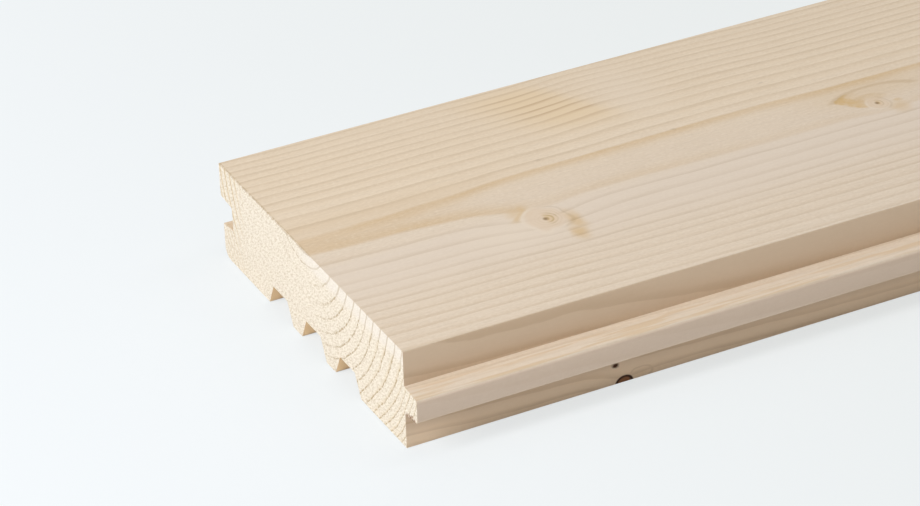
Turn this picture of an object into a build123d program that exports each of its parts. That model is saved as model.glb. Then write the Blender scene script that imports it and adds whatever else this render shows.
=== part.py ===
"""Softwood floorboard, tongue and groove, lying face up.

The length runs along X, the tongue points to -Y, the groove opens to +Y and the
tread face looks up. The origin is on the floor, under the middle of the board.
All sizes are in millimetres.
"""

import os
from math import atan2, degrees

from build123d import *

# Board
length = 1800.0
thickness = 28.0
cover_width = 110.0  # tread face, from the tongue's shoulder to the groove's upper lip
face_arris_radius = 0.4  # easing along both edges of the tread face

# Tongue, a bar that narrows towards its tip
tongue_reach = 6.8
tongue_height = 14.0  # middle of the tongue above the underside
tongue_root = 8.0  # thickness where it leaves the board
tongue_tip = 6.6  # thickness at its outer face
tongue_tip_radius = 0.9

# Groove, the tongue's own shape with room around it
flank_clearance = 0.15  # above and below the neighbour's tongue
end_clearance = 0.3  # beyond the neighbour's tongue tip
groove_corner_radius = 0.5
lower_lip_setback = 0.8  # keeps the joint tight at the tread face
lower_arris_radius = 3.2  # rounded lower edge that guides the neighbour's tongue

# Relief channels planed into the underside
channel_count = 3
channel_pitch = 20.2
channel_mouth = 14.8  # width at the underside
channel_roof = 8.6  # width at the top of the channel
channel_depth = 6.2
channel_row_offset = -1.6  # middle of the row from the middle of the tread face

# Places across the board
overall_width = cover_width + tongue_reach
lip = overall_width / 2
shoulder = lip - cover_width
face_middle = (lip + shoulder) / 2
tongue_end = shoulder - tongue_reach
groove_bottom = lip - tongue_reach - end_clearance
groove_middle = (groove_bottom + lip - lower_lip_setback) / 2
channel_wall_angle = degrees(atan2(channel_depth, (channel_mouth - channel_roof) / 2))

# The section is drawn on the cut end and runs along the board
end_plane = Plane.YZ.offset(-length / 2)


def tapered_bar(near, far, near_thickness, far_thickness, mode):
    """Four-sided profile at the tongue's height, from one place across the board to another."""
    Polygon(
        (near, tongue_height - near_thickness / 2),
        (far, tongue_height - far_thickness / 2),
        (far, tongue_height + far_thickness / 2),
        (near, tongue_height + near_thickness / 2),
        align=None,
        mode=mode,
    )


with BuildPart() as floorboard:
    with BuildSketch(end_plane):
        # Planed blank between the shoulder and the upper lip
        with Locations((face_middle, 0)):
            Rectangle(cover_width, thickness, align=(Align.CENTER, Align.MIN))

        # Lower lip, set back from the upper one
        with Locations((lip, 0)):
            Rectangle(lower_lip_setback, tongue_height, align=(Align.MAX, Align.MIN), mode=Mode.SUBTRACT)

        # Groove and tongue, one tapered bar cut away and one added
        tapered_bar(
            lip,
            groove_bottom,
            tongue_root + 2 * flank_clearance,
            tongue_tip + 2 * flank_clearance,
            Mode.SUBTRACT,
        )
        tapered_bar(shoulder, tongue_end, tongue_root, tongue_tip, Mode.ADD)
    extrude(amount=length)

    # Edges along the board: tread face, tongue tip, lower lip and groove bottom
    fillet(floorboard.edges().filter_by(Axis.X).group_by(Axis.Z)[-1], face_arris_radius)
    fillet(floorboard.edges().filter_by(Axis.X).group_by(Axis.Y)[0], tongue_tip_radius)
    underside_edges = floorboard.edges().filter_by(Axis.X).group_by(Axis.Z)[0]
    fillet(underside_edges.sort_by(Axis.Y)[-1], lower_arris_radius)
    inside_edges = floorboard.edges().filter_by(Axis.X)
    fillet(inside_edges.filter_by_position(Axis.Y, face_middle, groove_middle), groove_corner_radius)

    # Relief channels
    with BuildSketch(end_plane):
        with Locations((face_middle + channel_row_offset, 0)):
            with GridLocations(channel_pitch, channel_pitch, channel_count, 1):
                Trapezoid(
                    channel_mouth,
                    channel_depth,
                    channel_wall_angle,
                    align=(Align.CENTER, Align.MIN),
                )
    extrude(amount=length, mode=Mode.SUBTRACT)

floorboard.part.label = "floorboard"

os.makedirs("parts", exist_ok=True)
export_step(floorboard.part, "parts/floorboard.step")
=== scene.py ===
# %% [markdown]
# A softwood floorboard, planed on all sides, with a tongue along one edge, a groove
# along the other and three relief channels underneath. The board lies on a pale floor
# and the camera looks along it from the cut end. This first step loads the measured
# model, which fixes where the board is and how large it may be.

# %% Load the measured board
from math import radians

import bmesh
import bpy
from mathutils import Matrix, Vector


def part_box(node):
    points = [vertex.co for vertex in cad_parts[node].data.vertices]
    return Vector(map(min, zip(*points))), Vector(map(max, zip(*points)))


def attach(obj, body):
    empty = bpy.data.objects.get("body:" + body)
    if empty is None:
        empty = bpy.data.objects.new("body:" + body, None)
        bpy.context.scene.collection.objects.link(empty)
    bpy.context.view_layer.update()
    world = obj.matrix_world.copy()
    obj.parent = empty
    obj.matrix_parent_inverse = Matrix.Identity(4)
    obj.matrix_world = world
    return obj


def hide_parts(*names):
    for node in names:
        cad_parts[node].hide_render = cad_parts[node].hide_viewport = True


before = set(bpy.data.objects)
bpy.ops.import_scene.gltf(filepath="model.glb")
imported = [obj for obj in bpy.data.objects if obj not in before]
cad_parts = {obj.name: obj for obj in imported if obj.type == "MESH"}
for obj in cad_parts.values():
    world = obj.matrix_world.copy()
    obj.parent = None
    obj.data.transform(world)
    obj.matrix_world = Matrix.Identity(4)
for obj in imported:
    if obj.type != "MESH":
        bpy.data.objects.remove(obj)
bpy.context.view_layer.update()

lowest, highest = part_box("floorboard")
mm = 0.001
near_end = lowest.x
far_end = highest.x
length = far_end - near_end
thickness = highest.z
print("board", [round(side / mm, 1) for side in highest - lowest], "mm")

# %% [markdown]
# The measured solid has few facets on its rounded edges, so close up they look like
# chamfers. A finer board takes its place. A planed board is one section carried along
# its length, so the section is drawn first as a flat sheet on the cut end. It could be
# typed in as a list of corners, but cutting it out of a plain rectangle, as the planer
# does, keeps every size readable.

# %% Sizes of the section
tongue_reach = 6.8 * mm
tongue_height = 14.0 * mm
tongue_root = 8.0 * mm
tongue_tip = 6.6 * mm
groove_depth = 7.1 * mm
groove_mouth = 8.3 * mm
groove_floor = 6.9 * mm
lip_setback = 0.8 * mm
channel_offsets = (-20.2 * mm, 0.0, 20.2 * mm)
channel_row = -1.6 * mm
channel_mouth = 14.8 * mm
channel_roof = 8.6 * mm
channel_depth = 6.2 * mm

lip = highest.y
lower_lip = lip - lip_setback
shoulder = lowest.y + tongue_reach
face_middle = (lip + shoulder) / 2
groove_bottom = lip - groove_depth
print("tread face", round((lip - shoulder) / mm, 1), "mm wide")

# %% [markdown]
# Bisect cuts only what is selected, and so do extrude and bevel. These helpers pick
# faces, edges or corners by where they are, which is what a person does with the mouse.

# %% Helpers that select by place
cut_tolerance = 1e-7


def sheet_mesh():
    """The mesh that is open in edit mode."""
    return bmesh.from_edit_mesh(bpy.context.edit_object.data)


def pick(mode, wanted):
    """Selects the faces, edges or vertices whose middle passes the test, and nothing else."""
    bpy.ops.mesh.select_mode(type=mode)
    bpy.ops.mesh.select_all(action="DESELECT")
    mesh = sheet_mesh()
    elements = {"FACE": mesh.faces, "EDGE": mesh.edges, "VERT": mesh.verts}[mode]
    count = 0
    for element in elements:
        corners = [element] if mode == "VERT" else element.verts
        middle = sum((corner.co for corner in corners), Vector()) / len(corners)
        if wanted(middle):
            element.select_set(True)
            count += 1
    mesh.select_flush_mode()
    bmesh.update_edit_mesh(bpy.context.edit_object.data)
    return count


def cut_line(start, end):
    """Cuts the selected faces along the line between two points of the section, given as (y, z)."""
    aside, upward = end[0] - start[0], end[1] - start[1]
    bpy.ops.mesh.bisect(
        plane_co=(near_end, *start), plane_no=(0, -upward, aside), threshold=cut_tolerance
    )


print("cuts are exact to", cut_tolerance, "m")

# %% [markdown]
# The blank is a rectangle the size of the tread face and the thickness. The object
# stays at the origin: only its mesh is turned, stretched and moved into place.

# %% Blank section
bpy.ops.object.select_all(action="DESELECT")
bpy.ops.mesh.primitive_plane_add(size=1, enter_editmode=True, location=(0, 0, 0))
board = bpy.context.object
board.name = "planed_board"
bpy.ops.transform.rotate(value=radians(90), orient_axis="Y", center_override=(0, 0, 0))
bpy.ops.transform.resize(value=(1, lip - shoulder, thickness), center_override=(0, 0, 0))
bpy.ops.transform.translate(value=(near_end, face_middle, thickness / 2))
print("blank section, corners:", len(sheet_mesh().verts))

# %% [markdown]
# The groove is a bar that narrows inwards, cut from the lip. Below it the lip stands
# back a little, so that two laid boards close tight at the tread face.

# %% Groove and lower lip
bpy.ops.mesh.select_all(action="SELECT")
cut_line((groove_bottom, 0), (groove_bottom, thickness))
for side in (1, -1):
    pick("FACE", lambda middle: middle.y > groove_bottom)
    cut_line(
        (groove_bottom, tongue_height + side * groove_floor / 2),
        (lip, tongue_height + side * groove_mouth / 2),
    )
pick("FACE", lambda m: m.y > groove_bottom and abs(m.z - tongue_height) < groove_floor / 2)
bpy.ops.mesh.delete(type="FACE")
pick("FACE", lambda middle: middle.y > groove_bottom and middle.z < tongue_height)
cut_line((lower_lip, 0), (lower_lip, thickness))
pick("FACE", lambda middle: middle.y > lower_lip and middle.z < tongue_height)
bpy.ops.mesh.delete(type="FACE")
print("groove", round(groove_depth / mm, 1), "mm deep")

# %% [markdown]
# The relief channels let the board bridge small bumps in the floor below. Each is a
# trapezoid: two slanting cuts through the lowest band of the sheet, and the piece
# between them taken out.

# %% Relief channels
bpy.ops.mesh.select_all(action="SELECT")
cut_line((shoulder, channel_depth), (lip, channel_depth))
for offset in channel_offsets:
    middle_line = face_middle + channel_row + offset
    for side in (-1, 1):
        pick("FACE", lambda middle: middle.z < channel_depth)
        cut_line(
            (middle_line + side * channel_mouth / 2, 0),
            (middle_line + side * channel_roof / 2, channel_depth),
        )
    pick("FACE", lambda m: m.z < channel_depth and abs(m.y - middle_line) < channel_roof / 2)
    bpy.ops.mesh.delete(type="FACE")
print("relief channels", len(channel_offsets))

# %% [markdown]
# The tongue grows out of the shoulder: a strip of the sheet is cut at the tongue's
# root, its outer edge is extruded, and the new edge is shortened so that it tapers.
# Limited dissolve then melts the cut lines away and leaves one clean outline.

# %% Tongue, and one clean outline
strip = shoulder + tongue_reach
bpy.ops.mesh.select_all(action="SELECT")
cut_line((strip, 0), (strip, thickness))
for side in (1, -1):
    pick("FACE", lambda middle: middle.y < strip)
    cut_line(
        (shoulder, tongue_height + side * tongue_root / 2),
        (strip, tongue_height + side * tongue_root / 2),
    )
tolerance = 0.01 * mm
pick("EDGE", lambda m: abs(m.y - shoulder) < tolerance and abs(m.z - tongue_height) < tolerance)
bpy.ops.mesh.extrude_region_move(TRANSFORM_OT_translate={"value": (0, -tongue_reach, 0)})
bpy.ops.transform.resize(
    value=(1, 1, tongue_tip / tongue_root),
    center_override=(near_end, lowest.y, tongue_height),
)
bpy.ops.mesh.select_all(action="SELECT")
bpy.ops.mesh.dissolve_limited(angle_limit=radians(1))
print("outline corners:", len(sheet_mesh().verts), "faces:", len(sheet_mesh().faces))

# %% [markdown]
# The planer's knives leave soft edges: a hair of easing along the tread face, a
# rounded tongue tip, and a generous round under the groove that leads the next
# board's tongue in. Bevelling a corner of the flat sheet rounds the whole edge later.

# %% Rounded corners of the section
tread_easing = 0.4 * mm
tongue_tip_round = 0.9 * mm
lower_lip_round = 3.2 * mm
groove_corner_round = 0.5 * mm


def round_corners(radius, steps, wanted):
    """Rounds the chosen corners of the sheet."""
    count = pick("VERT", wanted)
    bpy.ops.mesh.bevel(
        offset=radius, offset_type="OFFSET", segments=steps, affect="VERTICES", clamp_overlap=True
    )
    print("rounded", count, "corners by", round(radius / mm, 2), "mm")


round_corners(tread_easing, steps=4, wanted=lambda c: c.z > thickness - tolerance)
round_corners(tongue_tip_round, steps=6, wanted=lambda c: c.y < lowest.y + tolerance)
round_corners(
    lower_lip_round,
    steps=12,
    wanted=lambda c: c.z < tolerance and c.y > lower_lip - tolerance,
)
round_corners(
    groove_corner_round,
    steps=4,
    wanted=lambda c: abs(c.y - groove_bottom) < tolerance and c.z > channel_depth,
)

# %% [markdown]
# The sheet is carried along the board's length. The long faces are divided every few
# centimetres, so that the mesh has no needle-thin triangles, and smooth shading blends
# only across the rounded edges.

# %% Board from its section
station = 30 * mm
blend_angle = radians(25)
bpy.ops.mesh.select_all(action="SELECT")
bpy.ops.mesh.extrude_region_move(TRANSFORM_OT_translate={"value": (length, 0, 0)})
bpy.ops.mesh.select_all(action="SELECT")
bpy.ops.mesh.normals_make_consistent(inside=False)
middle_x = (near_end + far_end) / 2
pick("EDGE", lambda middle: abs(middle.x - middle_x) < tolerance)
bpy.ops.mesh.subdivide(number_cuts=round(length / station) - 1)
bpy.ops.object.mode_set(mode="OBJECT")
bpy.ops.object.shade_smooth_by_angle(angle=blend_angle)
print("board faces:", len(board.data.polygons))

# %% [markdown]
# Wood is a solid, not a skin. The rings that draw lines on the tread face are the same
# rings that draw arcs on the cut end. So the material is worked out from the place
# inside the board, in millimetres: along it from the cut end, across it from the middle
# of the tread face, and up from the floor. These helpers each add one kind of shader
# node. The first ones do the arithmetic.

# %% Helpers for arithmetic in a shader
def feed(tree, socket, value):
    """Links a socket to another node, or sets its value."""
    if isinstance(value, bpy.types.NodeSocket):
        tree.links.new(value, socket)
    else:
        socket.default_value = value


def calc(tree, operation, *values):
    """One step of arithmetic on numbers."""
    node = tree.nodes.new("ShaderNodeMath")
    node.operation = operation
    for socket, value in zip(node.inputs, values):
        feed(tree, socket, value)
    return node.outputs[0]


def product(tree, first, *others):
    """Several numbers multiplied."""
    for other in others:
        first = calc(tree, "MULTIPLY", first, other)
    return first


def calc_place(tree, operation, *values):
    """One step of arithmetic on places. Length and dot product give a number."""
    node = tree.nodes.new("ShaderNodeVectorMath")
    node.operation = operation
    sockets = [node.inputs[0], node.inputs["Scale"]] if operation == "SCALE" else node.inputs
    for socket, value in zip(sockets, values):
        feed(tree, socket, value)
    number = operation in ("LENGTH", "DOT_PRODUCT")
    return node.outputs["Value" if number else "Vector"]


def split(tree, place):
    """The three numbers of a place, called X, Y and Z."""
    node = tree.nodes.new("ShaderNodeSeparateXYZ")
    feed(tree, node.inputs[0], place)
    return node.outputs


print("arithmetic: calc, product, calc_place, split")

# %% [markdown]
# The next helpers shape a number: a soft step, a soft band, smooth random numbers, a
# curve through given spots. The last two lay one colour or number over another.

# %% Helpers for soft steps, noise and mixing
def fade(tree, value, start, end, low=0.0, high=1.0):
    """Goes softly from low to high while the value goes from start to end."""
    node = tree.nodes.new("ShaderNodeMapRange")
    node.interpolation_type = "SMOOTHSTEP"
    names = ("Value", "From Min", "From Max", "To Min", "To Max")
    for name, number in zip(names, (value, start, end, low, high)):
        feed(tree, node.inputs[name], number)
    return node.outputs["Result"]


def band(tree, value, start, full, last, end):
    """Rises softly to 1 between start and full, and falls back to 0 between last and end."""
    return product(tree, fade(tree, value, start, full), fade(tree, value, last, end, 1.0, 0.0))


def noise(tree, place, waves, detail=2.0):
    """Smooth random numbers about 0.5, with so many waves in a millimetre each way."""
    node = tree.nodes.new("ShaderNodeTexNoise")
    node.inputs["Scale"].default_value = 1.0
    node.inputs["Detail"].default_value = detail
    feed(tree, node.inputs["Vector"], calc_place(tree, "MULTIPLY", place, waves))
    return node.outputs["Fac"]


def curve_through(tree, value, spots, handle):
    """A curve through given spots, both ways from 0 to 1."""
    node = tree.nodes.new("ShaderNodeFloatCurve")
    points = node.mapping.curves[0].points
    while len(points) < len(spots):
        points.new(0.5, 0.5)
    for point, spot in zip(points, spots):
        point.location = spot
        point.handle_type = handle
    node.mapping.update()
    feed(tree, node.inputs["Value"], value)
    return node.outputs["Value"]


def tint(tree, amount, under, over, blend="MIX"):
    """Lays one colour over another."""
    node = tree.nodes.new("ShaderNodeMix")
    node.data_type = "RGBA"
    node.blend_type = blend
    colours = [socket for socket in node.inputs if socket.type == "RGBA"]
    feed(tree, node.inputs["Factor"], amount)
    feed(tree, colours[0], under)
    feed(tree, colours[1], over)
    return next(socket for socket in node.outputs if socket.type == "RGBA")


def mix_number(tree, amount, under, over):
    """Goes from one number to another."""
    node = tree.nodes.new("ShaderNodeMix")
    feed(tree, node.inputs["Factor"], amount)
    feed(tree, node.inputs["A"], under)
    feed(tree, node.inputs["B"], over)
    return node.outputs["Result"]


print("shaping: fade, band, noise, curve_through, tint, mix_number")

# %% [markdown]
# The material starts with the place in the board, and with the way each face looks:
# the cut ends and the edges get their own treatment further down.

# %% Place inside the board
spruce = bpy.data.materials.new("planed_spruce")
spruce.use_nodes = True
wood = spruce.node_tree
surface = wood.nodes["Principled BSDF"]

coordinates = wood.nodes.new("ShaderNodeTexCoord")
from_cut_end = calc_place(wood, "SUBTRACT", coordinates.outputs["Object"], (near_end, face_middle, 0))
place = calc_place(wood, "SCALE", from_cut_end, 1 / mm)
along, across, up = split(wood, place)
facing = split(wood, coordinates.outputs["Normal"])
board_mm = length / mm
tread = thickness / mm
print("material", spruce.name, "over", round(board_mm), "mm")

# %% [markdown]
# A branch that grew out of the trunk leaves a knot. In the solid it is a rod. The group
# says how far a place lies from the rod's middle, in rod radii, how deep along the rod it
# is, on which side along the grain, and how much the rod swells the rings around it. The
# squeeze says how short that swelling is along the grain.

# %% Branch group
swelling_falloff = 0.32


def branch_group():
    """Node group that measures a place against one branch."""
    tree = bpy.data.node_groups.new("branch", "ShaderNodeTree")
    for name in ("Place", "Foot", "Axis", "Squeeze"):
        tree.interface.new_socket(name, in_out="INPUT", socket_type="NodeSocketVector")
    for name in ("Radius", "Wobble"):
        tree.interface.new_socket(name, in_out="INPUT", socket_type="NodeSocketFloat")
    for name in ("Away", "Depth", "Downgrain", "Swelling"):
        tree.interface.new_socket(name, in_out="OUTPUT", socket_type="NodeSocketFloat")
    given = tree.nodes.new("NodeGroupInput").outputs
    result = tree.nodes.new("NodeGroupOutput").inputs

    from_foot = calc_place(tree, "SUBTRACT", given["Place"], given["Foot"])
    depth = calc_place(tree, "DOT_PRODUCT", from_foot, given["Axis"])
    aside = calc_place(tree, "SUBTRACT", from_foot, calc_place(tree, "SCALE", given["Axis"], depth))
    uneven = calc(tree, "MULTIPLY", calc_place(tree, "LENGTH", aside), given["Wobble"])
    feed(tree, result["Away"], calc(tree, "DIVIDE", uneven, given["Radius"]))
    feed(tree, result["Depth"], depth)
    feed(tree, result["Downgrain"], calc(tree, "DIVIDE", split(tree, aside)["X"], given["Radius"]))

    drawn_out = calc_place(tree, "MULTIPLY", aside, given["Squeeze"])
    spread = calc(tree, "DIVIDE", calc_place(tree, "LENGTH", drawn_out), given["Radius"])
    falloff = product(tree, spread, spread, -swelling_falloff)
    feed(tree, result["Swelling"], calc(tree, "EXPONENT", falloff))
    return tree


branch = branch_group()
print("group", branch.name, "with", len(branch.nodes), "nodes")

# %% [markdown]
# Each branch is listed one by one: where its middle comes out, the way it points into the
# board, how deep it stays whole, its radius and how far it pushes the rings aside. The
# first few are those that show near the cut end. The others follow the same tree along
# the rest of the board. A live branch grew together with the trunk and stays pale, a dead
# one turns dark, and a buried one lies beside the board and only bends its rings.

# %% Branches of this board
branches = [
    # kind, where it comes out, the way it points, depth, radius, push
    ("live", (60.8, -15.3, tread), (0.02, -0.35, -1), 16, 5.8, 3.4),
    ("live", (168.2, -5.0, tread), (0.05, -0.5, -1), 60, 3.3, 2.4),
    ("buried", (103.0, 40.0, tread), (0, 0.3, -1), 60, 13.0, 2.1),
    ("buried", (133.0, 40.0, tread), (0, 0.3, -1), 60, 21.0, 1.6),
    ("dead", (61.3, -55.0, -1.2), (0, 1, 0.5), 14, 2.95, 1.2),
    ("live", (452.0, 9.0, tread), (0.04, 0.9, -1), 60, 4.6, 2.8),
    ("live", (461.0, -22.0, tread), (0.03, -1.3, -1), 60, 3.2, 2.0),
    ("live", (706.0, -3.0, tread), (0.05, -0.3, -1), 60, 5.0, 3.0),
    ("dead", (884.0, 26.0, tread), (0.02, 1.6, -1), 60, 3.0, 2.2),
    ("live", (1102.0, -8.0, tread), (0.04, -0.9, -1), 60, 4.4, 2.8),
    ("live", (1121.0, 21.0, tread), (0.03, 1.1, -1), 60, 2.4, 1.8),
    ("live", (1376.0, 4.0, tread), (0.05, 0.4, -1), 60, 4.8, 2.8),
    ("dead", (1588.0, -24.0, tread), (0.03, -1.4, -1), 60, 3.1, 2.2),
    ("live", (1707.0, 7.0, tread), (0.04, 0.7, -1), 60, 4.0, 2.4),
]
squeezes = {"live": (0.72, 1, 1), "dead": (0.72, 1, 1), "buried": (1.6, 1, 1)}
wobble = fade(wood, noise(wood, place, (0.13, 0.13, 0.13), 1.5), 0.25, 0.75, 0.84, 1.16)
print("branches", len(branches))

# %% [markdown]
# Every branch pushes the rings, so the pushes are added up. A knot's colours need only the
# nearest branch, so the loop hands on the values of the nearest live branch and of the
# nearest dead one. Painting each knot by itself would look the same, but a shader can hold
# only so many values at once. Past a branch's inner end its distance jumps, so it is gone.

# %% Nearest branch
end_fade = 4.0
gone = 4.0
nothing_near = 9.0
push_total = 0.0
dead_away = nothing_near
live_away = nothing_near
live_downgrain = 0.0
live_radius = 1.0
for kind, foot, axis, deep, radius, push in branches:
    node = wood.nodes.new("ShaderNodeGroup")
    node.node_tree = branch
    node.inputs["Foot"].default_value = foot
    node.inputs["Axis"].default_value = Vector(axis).normalized()
    node.inputs["Radius"].default_value = radius
    node.inputs["Squeeze"].default_value = squeezes[kind]
    feed(wood, node.inputs["Place"], place)
    feed(wood, node.inputs["Wobble"], wobble)
    whole = fade(wood, node.outputs["Depth"], deep - end_fade, deep, 1.0, 0.0)
    swell = calc(wood, "MULTIPLY", node.outputs["Swelling"], whole)
    push_total = calc(wood, "MULTIPLY_ADD", swell, push, push_total)
    away = calc(wood, "ADD", node.outputs["Away"], calc(wood, "MULTIPLY_ADD", whole, -gone, gone))
    if kind == "live":
        nearer = calc(wood, "LESS_THAN", away, live_away)
        live_away = calc(wood, "MINIMUM", away, live_away)
        live_downgrain = mix_number(wood, nearer, live_downgrain, node.outputs["Downgrain"])
        live_radius = mix_number(wood, nearer, live_radius, radius)
    elif kind == "dead":
        dead_away = calc(wood, "MINIMUM", away, dead_away)
print("knots", sum(row[0] != "buried" for row in branches))

# %% [markdown]
# The trunk's heart ran a finger's width above the tread face and not quite parallel to
# it. Where it comes nearer, a ring that lay just under the surface opens into the long
# pointed figure along the middle of the board. Two curves give the heart's path, and a
# ring's radius is the distance from it, nudged by slow noise and pushed out by branches.

# %% Distance from the heart of the trunk
heart_heights = [
    # along the board, height of the heart
    (0, 37.7), (15, 37.4), (30, 36.9), (45, 36.4), (60, 35.5), (75, 34.4), (95, 34.1), (110, 34.0),
    (150, 33.3), (200, 33.2), (350, 36.5), (520, 33.0), (700, 35.5), (900, 38.5), (1100, 34.0),
    (1300, 32.0), (1500, 36.0), (1680, 38.5), (1800, 37.0),
]
heart_sides = [
    # along the board, place of the heart across it
    (0, 2.7), (30, 1.9), (45, 1.9), (60, 1.7), (75, 1.3), (95, 0.8), (110, 0.6), (150, 0.4),
    (200, 0.4), (350, 2.5), (520, -1.0), (700, 0.0), (900, 3.0), (1100, 1.0), (1300, -3.0),
    (1500, 0.0), (1680, 2.0), (1800, 2.0),
]
height_limits = (28, 44)
side_limits = (-8, 8)


def heart_path(points, low, high):
    """A place of the heart that follows given points between two limits."""
    spots = [(distance / board_mm, (spot - low) / (high - low)) for distance, spot in points]
    share = curve_through(wood, calc(wood, "DIVIDE", along, board_mm), spots, "AUTO_CLAMPED")
    return calc(wood, "MULTIPLY_ADD", share, high - low, low)


sideways = calc(wood, "SUBTRACT", across, heart_path(heart_sides, *side_limits))
tongue_half = fade(wood, sideways, -1.0, 1.0, 1.0, 0.0)
outer_scale = fade(wood, sideways, -38, -57, 1.0, 0.955)
wider_rings = calc(wood, "MULTIPLY_ADD", tongue_half, -0.05, outer_scale)
sideways = calc(wood, "MULTIPLY", sideways, wider_rings)
below = calc(wood, "SUBTRACT", up, heart_path(heart_heights, *height_limits))
below_squared = calc(wood, "MULTIPLY", below, below)
from_heart = calc(wood, "SQRT", calc(wood, "MULTIPLY_ADD", sideways, sideways, below_squared))
drift = calc(wood, "SUBTRACT", noise(wood, place, (0.012, 0.05, 0.05)), 0.5)
tremble = calc(wood, "SUBTRACT", noise(wood, place, (0.06, 0.35, 0.35)), 0.5)
from_heart = calc(wood, "MULTIPLY_ADD", drift, 1.4, from_heart)
from_heart = calc(wood, "MULTIPLY_ADD", tremble, 0.7, from_heart)
from_heart = calc(wood, "SUBTRACT", from_heart, push_total)
print("heart path points", len(heart_heights), "and", len(heart_sides))

# %% [markdown]
# A tree grows one ring a year: soft pale wood in spring, then denser and darker until
# growth stops at a sharp edge. A curve turns the distance from the heart into a ring
# count, whose fraction is the time of year. The first rings lie so flat in the middle of
# the tread face that their late part shows as a tan strip.

# %% Growth rings
ring_edges = (
    4.2, 10.6, 14.0, 18.7, 23.4, 27.2, 31.1, 34.5, 37.5, 40.9, 44.1, 46.9, 50.0, 53.0, 55.0,
    57.0, 58.9, 60.7, 62.5, 64.3, 66.0, 67.7, 69.4,
)
largest = 72.0
most_rings = len(ring_edges) + 1
ring_spots = [(0, 0)]
ring_spots += [(edge, 1 + index) for index, edge in enumerate(ring_edges)]
ring_spots += [(largest, most_rings)]
ring_spots = [(edge / largest, count / most_rings) for edge, count in ring_spots]
ring_count = curve_through(wood, calc(wood, "DIVIDE", from_heart, largest), ring_spots, "VECTOR")
ring_count = calc(wood, "MULTIPLY", ring_count, most_rings)
season = calc(wood, "FRACT", ring_count)
year = calc(wood, "FLOOR", ring_count)

late_start = fade(wood, along, 50, 100, 0.56, 0.36)
late_glow = band(wood, season, late_start, 0.87, 0.89, 1.0)
late_line = band(wood, season, 0.55, 0.92, 0.95, 1.0)
year_dice = wood.nodes.new("ShaderNodeTexWhiteNoise")
year_dice.noise_dimensions = "1D"
feed(wood, year_dice.inputs["W"], year)
year_strength = calc(wood, "MULTIPLY_ADD", year_dice.outputs["Value"], 0.35, 0.75)
first_rings = calc(wood, "LESS_THAN", year, 1.5)
print("rings", most_rings)

# %% [markdown]
# Planed spruce is nearly white between the rings, palest where spring begins. The late
# wood is a thin, slightly darker line, but tan where a ring lies flat in the face. The tan
# fades on the tongue's half past the first knot.

# %% Planed wood
early_wood = (0.750, 0.621, 0.485, 1)
late_wood = (0.668, 0.490, 0.300, 1)
spring_wood = (0.800, 0.685, 0.555, 1)

tan_share = calc(wood, "MULTIPLY_ADD", first_rings, 0.78, 0.14)
fading = fade(wood, noise(wood, place, (0.02, 0.06, 0.06)), 0.3, 0.6, 0.65, 1.0)
past_knot = product(wood, tongue_half, band(wood, along, 55, 63, 185, 200))
fading = product(wood, fading, calc(wood, "MULTIPLY_ADD", past_knot, -0.6, 1.0))
tan_amount = product(wood, late_glow, tan_share, fading)
outer_ring = calc(wood, "SUBTRACT", 1.0, first_rings)
spring = product(wood, fade(wood, season, 0.0, 0.7, 0.3, 0.0), outer_ring)
planed = tint(wood, spring, early_wood, spring_wood)
planed = tint(wood, tan_amount, planed, late_wood)
print("planed wood from", early_wood[:3], "to", late_wood[:3])

# %% [markdown]
# Fine streaks, dashes and pores along the fibre and slow changes of warmth keep large
# areas from looking painted. The groove's half is a little warmer, with a tan veil beside
# the middle near the cut end, and a strip of the tongue's half is whiter.

# %% Fibres and slow changes
fibre_dark = (0.25, 0.19, 0.13, 1)
fibre_light = (1.0, 0.93, 0.84, 1)
warm_side = (1.045, 1.030, 0.990, 1)
white_wood = (0.755, 0.645, 0.540, 1)

streaks = noise(wood, place, (0.10, 1.6, 1.6), 3.0)
dashes = noise(wood, place, (0.5, 2.4, 2.4), 2.0)
warmth = noise(wood, place, (0.008, 0.04, 0.04), 1.0)
planed = tint(wood, fade(wood, streaks, 0.35, 0.75, 0.0, 0.07), planed, fibre_dark)
planed = tint(wood, fade(wood, dashes, 0.45, 0.8, 0.0, 0.09), planed, fibre_light)
planed = tint(wood, fade(wood, warmth, 0.4, 0.7, 0.0, 0.06), planed, late_wood)
pores = noise(wood, place, (0.9, 1.5, 1.5), 3.0)
planed = tint(wood, fade(wood, pores, 0.5, 0.75, 0.0, 0.08), planed, fibre_dark)
planed = tint(wood, fade(wood, pores, 0.5, 0.25, 0.0, 0.13), planed, fibre_light)
planed = tint(wood, fade(wood, across, -5, 20), planed, warm_side, "MULTIPLY")
veil = product(wood, band(wood, across, 4, 9, 11, 19), fade(wood, along, 90, 30, 0.0, 0.3))
planed = tint(wood, veil, planed, late_wood)
white_side = product(wood, band(wood, across, -42, -20, -12, -6), 0.55)
planed = tint(wood, white_side, planed, white_wood)

line_breaks = fade(wood, noise(wood, place, (0.03, 0.25, 0.25)), 0.3, 0.65, 0.55, 1.1)
line_amount = product(wood, late_line, year_strength, line_breaks)
line_amount = product(wood, line_amount, calc(wood, "MULTIPLY_ADD", first_rings, -0.8, 1.0))
print("fibres and warmth added, nodes:", len(wood.nodes))

# %% [markdown]
# Marks in wood have no clean outline. So they are measured from places that are shaken a
# little by noise: ragged ones for stains, calmer ones for fine lines. A spot is then a soft
# egg round its middle.

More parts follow.
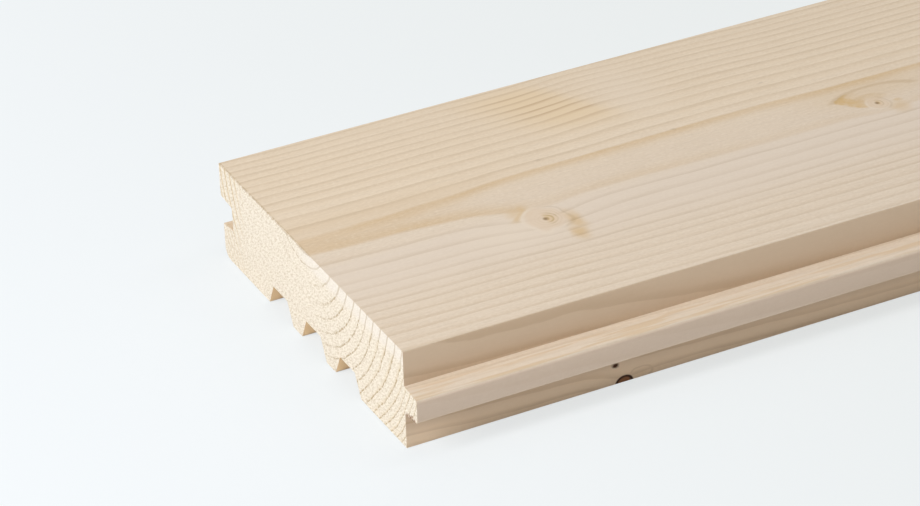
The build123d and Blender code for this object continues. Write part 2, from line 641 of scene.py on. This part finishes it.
# %% Ragged places and soft spots
ragged = wood.nodes.new("ShaderNodeTexNoise")
ragged.inputs["Scale"].default_value = 0.35
feed(wood, ragged.inputs["Vector"], place)
ragged_step = calc_place(wood, "SUBTRACT", ragged.outputs["Color"], (0.5, 0.5, 0.5))
ragged_place = calc_place(wood, "ADD", place, calc_place(wood, "SCALE", ragged_step, 2.5))
calm_place = calc_place(wood, "ADD", place, calc_place(wood, "SCALE", ragged_step, 0.7))
mottle = fade(wood, ragged.outputs["Fac"], 0.35, 0.65, 0.55, 1.0)


def egg(middle, reach, seen_from=ragged_place):
    """Distance from a place, 1 at the edge of an egg with these half lengths."""
    from_middle = calc_place(wood, "SUBTRACT", seen_from, middle)
    return calc_place(wood, "LENGTH", calc_place(wood, "DIVIDE", from_middle, reach))


def soft_spot(middle, reach, inner=0.1):
    """1 in the middle of an egg-shaped spot and 0 outside it."""
    return fade(wood, egg(middle, reach), inner, 1.0, 1.0, 0.0)


print("ragged and calm places ready")

# %% [markdown]
# Over the buried branch the wood turns golden where the rings climb, and pale where they
# come down again. The golden area is slanted, so it is made of two soft bands. The rings
# also bulge in front of the first knot, which leaves pale wood there.

# %% Wood over a buried branch
golden = (0.785, 0.612, 0.405, 1)
knot_rim = (0.79, 0.67, 0.54, 1)
ragged_along, ragged_across, _ = split(wood, ragged_place)
slanted = calc(wood, "MULTIPLY_ADD", ragged_across, 0.6, ragged_along)
climbing = product(wood, band(wood, slanted, 90, 112, 117, 127), band(wood, across, 18, 32, 46, 57))
sinking = soft_spot((113.0, 36.0, tread), (17.0, 24.0, 12.0), 0.0)
planed = tint(wood, product(wood, climbing, 0.8), planed, golden)
planed = tint(wood, product(wood, sinking, 0.4), planed, knot_rim)
bulge = soft_spot((50.0, -18.0, tread), (19.0, 14.0, 10.0), 0.0)
planed = tint(wood, product(wood, bulge, 0.6), planed, knot_rim)
print("golden and pale areas added")

# %% [markdown]
# The second knot lies in an eye of cross grain: its upper lid is a fine brown line and its
# corner is filled with amber. The first knot has an amber crescent on the side of the cut
# end. Both are strengths for now, and are painted in the next step.

# %% Eye of the second knot, crescent of the first
calm_along, calm_across, _ = split(wood, calm_place)
eye = egg((170.5, -1.0, tread), (14.0, 5.7, 8.0), calm_place)
lid = product(wood, band(wood, eye, 0.76, 0.94, 0.98, 1.12), fade(wood, calm_across, -0.5, 1.0))
lower_side = calc(wood, "MULTIPLY_ADD", calm_along, 1.12, calm_across)
corner = product(wood, fade(wood, lower_side, 176.0, 178.0), fade(wood, along, 160.0, 170.0, 1.0, 0.0))
amber_total = product(wood, corner, fade(wood, eye, 0.9, 1.0, 1.0, 0.0), mottle)
crescent = band(wood, live_away, 0.95, 1.1, 1.25, 1.75)
crescent = product(wood, crescent, fade(wood, live_downgrain, -0.15, -0.6))
crescent = product(wood, crescent, fade(wood, along, 70.0, 75.0, 1.0, 0.0))
crescent = product(wood, crescent, fade(wood, calm_across, -14.8, -11.8))
amber_total = calc(wood, "MAXIMUM", amber_total, product(wood, crescent, 0.55))
print("eye and crescent measured")

# %% [markdown]
# Resin and the pull of nearby branches leave amber patches. Each is a soft spot, and where
# two overlap the stronger one counts, because adding them would burn the colour. Ring
# lines turn brown where the wood is amber or golden, and fade where it is pale.

# %% Amber patches and ring lines
amber = (0.645, 0.437, 0.20, 1)
line_shade = (0.42, 0.30, 0.17, 1)
line_brown = (0.42, 0.25, 0.12, 1)
lid_brown = (0.50, 0.345, 0.18, 1)
patches = [
    # middle, half lengths, strength
    ((67.2, -19.4, tread), (3.4, 8.6, 6.0), 0.58),
    ((65.4, -25.6, tread), (3.8, 5.4, 5.0), 0.66),
    ((55.8, -9.4, tread), (5.4, 4.2, 4.0), 0.4),
    ((174.0, -6.2, tread), (1.7, 1.5, 3.0), 0.5),
    ((172.8, -9.8, tread), (4.4, 4.8, 4.0), 0.35),
    ((172.0, 3.0, tread), (34.0, 11.0, 9.0), 0.22),
    ((66.0, -55.0, 1.0), (2.2, 3.0, 1.0), 0.6),
]
for middle, reach, strength in patches:
    amber_total = calc(wood, "MAXIMUM", product(wood, soft_spot(middle, reach), strength), amber_total)
planed = tint(wood, amber_total, planed, amber)
browned = calc(wood, "MAXIMUM", climbing, amber_total)
darker_lines = calc(wood, "MULTIPLY_ADD", browned, 1.4, 1.0)
darker_lines = calc(wood, "MULTIPLY_ADD", sinking, -0.45, darker_lines)
line_amount = product(wood, line_amount, darker_lines, 0.19)
line_colour = tint(wood, browned, line_shade, line_brown)
planed = tint(wood, line_amount, planed, line_colour)
planed = tint(wood, product(wood, lid, 0.38), planed, lid_brown)
print("amber patches", len(patches) + 2)

# %% [markdown]
# The shoulder and the face under the tongue were planed nearly along a ring, so they
# show its tan side and hardly any lines. The face under the tongue is also painted
# lighter towards its foot, a painted light from below, and right under the tongue a band
# of painted shade darkens it. Beside the half knot there a swirl shows. The tongue's tip
# is a little rosy, and its top is pale with fine grain.

# %% Edges
shoulder_tan = (0.740, 0.546, 0.375, 1)
# The tan of the ring side, painted lighter on the face under the tongue: painted light from below.
lower_tan_and_painted_light = (0.912, 0.690, 0.488, 1)
painted_shade_under_tongue = (0.58, 0.41, 0.28, 1)
tip_rose = (0.752, 0.580, 0.454, 1)
tongue_pale = (0.76, 0.655, 0.545, 1)
tongue_way = fade(wood, facing["Y"], -0.7, -0.95)
edge_face = product(wood, tongue_way, fade(wood, across, -58.0, -57.0))
edge_tan_and_painted_light = tint(wood, fade(wood, up, 9.0, 19.0), lower_tan_and_painted_light, shoulder_tan)
# Painted shade: a darker band right under the tongue.
painted_shade_band = product(wood, band(wood, up, 2.5, 7.0, 12.0, 14.0), 0.7)
edge_tan_and_painted_light = tint(wood, painted_shade_band, edge_tan_and_painted_light, painted_shade_under_tongue)
planed = tint(wood, product(wood, edge_face, 0.8), planed, edge_tan_and_painted_light)
swirl = band(wood, egg((66.3, -55.0, 1.3), (3.4, 4.0, 1.9), calm_place), 0.75, 0.92, 0.98, 1.15)
edge_lines = product(wood, edge_face, late_line, 0.2)
edge_lines = calc(wood, "MAXIMUM", edge_lines, product(wood, swirl, 0.22))
planed = tint(wood, edge_lines, planed, line_brown)

on_tongue = fade(wood, across, -56.0, -57.5)
planed = tint(wood, product(wood, tongue_way, on_tongue, 0.7), planed, tip_rose)
tongue_top = product(wood, fade(wood, facing["Z"], 0.6, 0.9), on_tongue)
planed = tint(wood, product(wood, tongue_top, 0.45), planed, tongue_pale)
tongue_grain = fade(wood, noise(wood, place, (0.05, 1.0, 1.0), 3.0), 0.46, 0.62, 0.0, 0.6)
planed = tint(wood, product(wood, tongue_top, tongue_grain), planed, late_wood)
print("edges set")

# %% [markdown]
# The walls of the relief channels, and a little also the groove, are painted lighter and
# warmer: a painted bounce light, as if light that gets in there had already bounced off wood.

# %% Channels and groove
# Painted light: a light, warm colour laid over the hollows in place of their shade.
channel_painted_bounce = (0.98, 0.72, 0.44, 1)
in_channel = product(wood, fade(wood, up, 0.1, 0.6), fade(wood, up, 6.4, 6.6, 1.0, 0.0))
in_channel = product(wood, in_channel, band(wood, across, -36, -35, 35, 36))
in_groove = product(wood, band(wood, up, 9.0, 9.5, 18.5, 19.0), fade(wood, across, 45.0, 46.0))
painted_bounce_share = calc(wood, "MAXIMUM", in_channel, product(wood, in_groove, 0.2))
planed = tint(wood, product(wood, painted_bounce_share, 0.95), planed, channel_painted_bounce)
print("channels and groove set")

# %% [markdown]
# Knots have rings of their own round a dark heart. Live ones are pale, with an uneven rim
# towards the cut end. On their other side they have an amber halo, brown rings and a thin
# outline. All of it follows the distance from the nearest live branch.

# %% Live knots
knot_pale = (0.742, 0.588, 0.438, 1)
knot_brown = (0.47, 0.33, 0.14, 1)
knot_heart = (0.22, 0.13, 0.045, 1)
knot_ring = 1.05
patchy = fade(wood, noise(wood, place, (0.3, 0.3, 0.3)), 0.35, 0.65, 0.3, 0.9)
planed = tint(wood, fade(wood, live_away, 0.7, 1.1, 0.7, 0.0), planed, knot_pale)
rim = product(wood, band(wood, live_away, 0.8, 0.97, 1.0, 1.2), patchy)
rim = product(wood, rim, fade(wood, live_downgrain, -0.7, 0.6, 0.9, 0.0))
planed = tint(wood, rim, planed, knot_rim)
halo = fade(wood, live_away, 0.1, 0.6, 0.5, 0.0)
halo = product(wood, halo, fade(wood, live_downgrain, -0.12, 0.15))
planed = tint(wood, halo, planed, amber)
from_knot = calc(wood, "MULTIPLY", live_away, live_radius)
rings = calc(wood, "FRACT", calc(wood, "DIVIDE", from_knot, knot_ring))
rings = product(wood, band(wood, rings, 0.3, 0.7, 0.8, 1.0), patchy)
rings = product(wood, rings, fade(wood, live_away, 0.35, 0.8, 1.0, 0.15))
rings = product(wood, rings, fade(wood, live_away, 0.85, 1.0, 1.0, 0.0))
rings = product(wood, rings, fade(wood, live_downgrain, -0.15, 0.3, 0.12, 0.8))
planed = tint(wood, rings, planed, knot_brown)
outline = band(wood, live_away, 0.98, 1.08, 1.1, 1.25)
outline = product(wood, outline, fade(wood, live_downgrain, 0.1, 0.8, 0.0, 0.22))
planed = tint(wood, outline, planed, line_shade)
planed = tint(wood, fade(wood, from_knot, 0.2, 0.95, 0.8, 0.0), planed, knot_heart)
print("live knots", sum(row[0] == "live" for row in branches))

# %% [markdown]
# Dead knots are dark, with an almost black bark line round them. Pin marks are the ends of
# twigs that never grew.

# %% Dead knots and pin marks
dead_wood = (0.26, 0.115, 0.05, 1)
bark_line = (0.040, 0.014, 0.005, 1)
pin_brown = (0.050, 0.015, 0.003, 1)
pin_marks = [
    # middle, half lengths, strength
    ((58.7, -55.0, 5.6), (1.3, 2.0, 1.2), 1.0),
    ((113.5, 9.8, tread), (1.2, 0.8, 1.0), 0.12),
    ((74.0, 13.0, tread), (1.0, 0.7, 1.0), 0.1),
    ((147.0, 21.0, tread), (1.2, 0.7, 1.0), 0.12),
    ((317.0, -33.0, tread), (1.4, 0.8, 1.0), 0.3),
    ((598.0, 28.0, tread), (1.4, 0.8, 1.0), 0.3),
    ((1242.0, -41.0, tread), (1.4, 0.8, 1.0), 0.3),
]
planed = tint(wood, fade(wood, dead_away, 0.90, 1.05, 1.0, 0.0), planed, dead_wood)
planed = tint(wood, band(wood, dead_away, 0.68, 0.88, 0.95, 1.08), planed, bark_line)
for middle, reach, strength in pin_marks:
    planed = tint(wood, product(wood, soft_spot(middle, reach, 0.4), strength), planed, pin_brown)
print("dead knots", sum(row[0] == "dead" for row in branches), "and pin marks", len(pin_marks))

# %% [markdown]
# The cut ends are sawn across the fibre: paler and rough, with streaks from the saw's
# teeth. A smoother, whiter band runs under the tread face.

# %% Sawn ends
end_early = (0.860, 0.773, 0.654, 1)
end_shade = (0.625, 0.515, 0.375, 1)
end_white = (0.84, 0.765, 0.685, 1)
saw_turn = wood.nodes.new("ShaderNodeMapping")
saw_turn.inputs["Rotation"].default_value = (radians(30), 0, 0)
feed(wood, saw_turn.inputs["Vector"], place)
saw_streaks = noise(wood, saw_turn.outputs["Vector"], (1.0, 0.6, 2.2), 3.0)
speckle = noise(wood, place, (1.8, 1.8, 1.8), 3.0)
saw_marks = product(wood, calc(wood, "ADD", saw_streaks, speckle), 0.5)
sawn = tint(wood, fade(wood, saw_marks, 0.42, 0.64, 0.0, 0.85), end_early, end_shade)
smooth_band = product(wood, fade(wood, up, 22.5, 25.5), fade(wood, across, 9.0, -2.0))
sawn = tint(wood, product(wood, smooth_band, 0.65), sawn, end_white)
print("sawn ends set")

# %% [markdown]
# The saw tears the ring edges into dotted lines, clearest on the tongue's half and beside
# the lips, where golden late wood shows too. In the smooth band they are fine arcs.

# %% Rings on the sawn ends
end_late = (0.46, 0.33, 0.18, 1)
end_gold = (0.74, 0.575, 0.35, 1)
torn = fade(wood, noise(wood, place, (0.9, 0.9, 0.9), 3.0), 0.36, 0.58, 0.15, 1.0)
tongue_side = fade(wood, across, 4.0, -22.0)
lips = product(wood, fade(wood, across, 38.0, 48.0), fade(wood, up, 8.0, 18.0, 0.4, 0.9))
crown = product(wood, fade(wood, up, 20.0, 24.0), band(wood, across, -24.0, -16.0, 12.0, 18.0))
ring_show = calc(wood, "MAXIMUM", tongue_side, lips)
ring_show = calc(wood, "MAXIMUM", ring_show, product(wood, crown, 0.7))
ring_show = calc(wood, "MAXIMUM", ring_show, 0.1)
ring_show = product(wood, ring_show, calc(wood, "MULTIPLY_ADD", smooth_band, -0.45, 1.0))
end_line = product(wood, band(wood, season, 0.79, 0.92, 0.96, 1.0), ring_show)
end_line = product(wood, end_line, calc(wood, "MAXIMUM", torn, smooth_band))
tongue_late = fade(wood, across, -24.0, -48.0, 0.0, 0.3)
late_show = calc(wood, "MAXIMUM", product(wood, lips, 0.9), tongue_late)
late_show = product(wood, late_show, calc(wood, "SUBTRACT", 1.0, smooth_band))
late_show = product(wood, late_show, band(wood, season, 0.6, 0.82, 0.92, 1.0))
sawn = tint(wood, late_show, sawn, end_gold)
sawn = tint(wood, end_line, sawn, end_late)
print("rings on the sawn ends set")

# %% [markdown]
# The wood is torn along the tongue's lower edge, and a thin brown burr hangs along part of
# the upper edge. The normal tells a cut end from a planed face, and with that the two
# colours become one.

# %% Torn edges, and one colour
under_tongue = product(wood, soft_spot((0.0, -58.2, 10.6), (5.0, 4.2, 1.1), 0.3), torn)
sawn = tint(wood, under_tongue, sawn, dead_wood)
end_face = fade(wood, calc(wood, "ABSOLUTE", facing["X"]), 0.6, 0.9)
colour = tint(wood, end_face, planed, sawn)
burr = product(wood, fade(wood, along, 0.5, 0.15), fade(wood, up, 27.3, 27.7))
burr = product(wood, burr, fade(wood, across, -8.0, 6.0), torn, 0.6)
colour = tint(wood, burr, colour, end_late)
feed(wood, surface.inputs["Base Color"], colour)
print("colour set, nodes:", len(wood.nodes))

# %% [markdown]
# The planer leaves the fibres just to be felt, and the saw leaves the end rough. Bump gives
# both without extra faces. Bare wood has a dull sheen.

# %% Surface of the wood
fibre_share = 0.06
saw_share = 0.8
fibre_relief = product(wood, calc(wood, "ADD", streaks, dashes), fibre_share)
relief = mix_number(wood, end_face, fibre_relief, product(wood, saw_marks, saw_share))
bump = wood.nodes.new("ShaderNodeBump")
bump.inputs["Strength"].default_value = 0.7
bump.inputs["Distance"].default_value = 0.6 * mm
feed(wood, bump.inputs["Height"], relief)
feed(wood, surface.inputs["Normal"], bump.outputs["Normal"])
surface.inputs["Roughness"].default_value = 0.55
surface.inputs["Specular IOR Level"].default_value = 0.15
board.data.materials.append(spruce)
print("material nodes:", len(wood.nodes))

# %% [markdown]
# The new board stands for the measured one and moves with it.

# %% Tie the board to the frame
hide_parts("floorboard")
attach(board, "root")
print(board.name, "replaces floorboard")

# %% [markdown]
# A studio floor that is nearly white, a little darker along the board. It lies a hair
# under the board, because two faces in one plane would flicker.

# %% Floor
floor_size = 80
floor_drop = 0.1 * mm
pale_near = (0.914, 0.950, 0.977, 1)
pale_far = (0.846, 0.873, 0.871, 1)
bpy.ops.object.select_all(action="DESELECT")
bpy.ops.mesh.primitive_plane_add(size=floor_size, location=(0, 0, -floor_drop))
floor = bpy.context.object
floor.name = "pale_floor"
paper = bpy.data.materials.new("pale_floor")
paper.use_nodes = True
sheet = paper.node_tree
floor_place = sheet.nodes.new("ShaderNodeTexCoord")
floor_along, floor_across, _ = split(sheet, floor_place.outputs["Object"])
pale_share = fade(sheet, floor_along, near_end - 0.2, near_end + 0.25)
pale = tint(sheet, pale_share, pale_near, pale_far)
matt = sheet.nodes["Principled BSDF"]
feed(sheet, matt.inputs["Base Color"], pale)
matt.inputs["Roughness"].default_value = 0.9
matt.inputs["Specular IOR Level"].default_value = 0.0
floor.data.materials.append(paper)
print("floor", floor.name)

# %% [markdown]
# Lamps alone would leave bright and dim areas on the floor. So most of what the camera
# sees of it is its own pale glow, and away from the board all of it. Beside the board a
# share of real light stays, which keeps the board's soft shadow. The glow is for the
# camera and for reflections only and lights nothing.

# %% Glow of the floor
glow_beside_board = 0.75


def looked_at(tree):
    """1 for what the camera sees, also in gloss or through glass, and 0 for light on its way."""
    ray = tree.nodes.new("ShaderNodeLightPath")
    seen = calc(tree, "MAXIMUM", ray.outputs["Is Camera Ray"], ray.outputs["Is Glossy Ray"])
    return calc(tree, "MAXIMUM", seen, ray.outputs["Is Transmission Ray"])


def past(distance, limit):
    """How far a place lies past the board, each way."""
    beyond = calc(sheet, "SUBTRACT", calc(sheet, "ABSOLUTE", distance), limit)
    return calc(sheet, "MAXIMUM", beyond, 0.0)


glow = sheet.nodes.new("ShaderNodeEmission")
feed(sheet, glow.inputs["Color"], pale)
past_end = past(floor_along, highest.x)
past_side = past(floor_across, highest.y)
past_squared = calc(sheet, "MULTIPLY", past_end, past_end)
from_board = calc(sheet, "SQRT", calc(sheet, "MULTIPLY_ADD", past_side, past_side, past_squared))
glow_share = fade(sheet, from_board, 0.08, 0.35, glow_beside_board, 1.0)
both = sheet.nodes.new("ShaderNodeMixShader")
feed(sheet, both.inputs["Fac"], product(sheet, looked_at(sheet), glow_share))
feed(sheet, both.inputs[1], matt.outputs["BSDF"])
feed(sheet, both.inputs[2], glow.outputs["Emission"])
feed(sheet, sheet.nodes["Material Output"].inputs["Surface"], both.outputs["Shader"])
print("glow beside the board", glow_beside_board)

# %% [markdown]
# The room is pale and brightest overhead. Behind the floor's edge the camera and
# reflections see an even backdrop in the floor's own colour.

# %% Room
room_white = (0.98, 0.99, 1.0, 1)
backdrop = (0.850, 0.878, 0.880, 1)
room_low = 0.12
room_overhead = 0.6
world = bpy.data.worlds.new("studio")
world.use_nodes = True
air = world.node_tree
room = air.nodes["Background"]
way = air.nodes.new("ShaderNodeTexCoord")
overhead = calc(air, "MAXIMUM", split(air, way.outputs["Generated"])["Z"], 0.0)
room_light = calc(air, "MULTIPLY_ADD", overhead, room_overhead, room_low)
in_view = looked_at(air)
feed(air, room.inputs["Color"], tint(air, in_view, room_white, backdrop))
feed(air, room.inputs["Strength"], mix_number(air, in_view, room_light, 1.0))
bpy.context.scene.world = world
bpy.context.scene.view_settings.view_transform = "Standard"
print("room light", room_low, "at the horizon,", round(room_low + room_overhead, 2), "overhead")

# %% [markdown]
# A tall soft lamp stands in front of the cut end, and a second one hangs over the far
# half. So the end is the brightest face, the tread face and the tongue's top come next and
# the tongue's side is in soft shade.

# %% Lamps
def soft_lamp(name, spot, aim, width, height, watts):
    """A rectangular lamp that points at a place."""
    bpy.ops.object.light_add(type="AREA", location=spot)
    lamp = bpy.context.object
    lamp.name = name
    lamp.data.shape = "RECTANGLE"
    lamp.data.size = width
    lamp.data.size_y = height
    lamp.data.energy = watts
    lamp.visible_camera = False
    lamp.rotation_euler = (Vector(spot) - Vector(aim)).to_track_quat("Z", "Y").to_euler()
    print("lamp", name, watts, "W")


cut_end = Vector((near_end, face_middle, thickness))
end_lamp_place = cut_end + Vector((-0.8, -0.13, 0.62))
far_middle = Vector((0.55, 0, 0))
far_lamp_place = far_middle + Vector((0, -0.2, 1.6))
soft_lamp("end_lamp", end_lamp_place, cut_end, width=0.24, height=0.64, watts=7.7)
soft_lamp("far_lamp", far_lamp_place, far_middle, width=1.4, height=0.4, watts=5.4)

# %% [markdown]
# The camera stands in front of the tongue side and looks down along the board through a
# long lens. Its place and turn come from matching the board's edges to the picture.

# %% Camera
sensor_width = 36.0
focal_length = 145.66
view_depth = 100.0
camera_offset = Vector((-325.5, -751.9, 503.4)) * mm
heading_angle = radians(-26.14)
down_angle = radians(30.239)
roll_angle = radians(-2.054)
bpy.ops.object.camera_add()
camera = bpy.context.object
camera.name = "camera"
camera.data.sensor_width = sensor_width
camera.data.lens = focal_length
camera.data.clip_end = view_depth
camera.location = Vector((near_end, face_middle, 0)) + camera_offset
heading = Matrix.Rotation(heading_angle, 4, "Z")
tilt = Matrix.Rotation(radians(90) - down_angle, 4, "X")
roll = Matrix.Rotation(roll_angle, 4, "Z")
camera.rotation_euler = (heading @ tilt @ roll).to_euler()
bpy.context.scene.camera = camera
print("camera at", [round(value, 3) for value in camera.location])
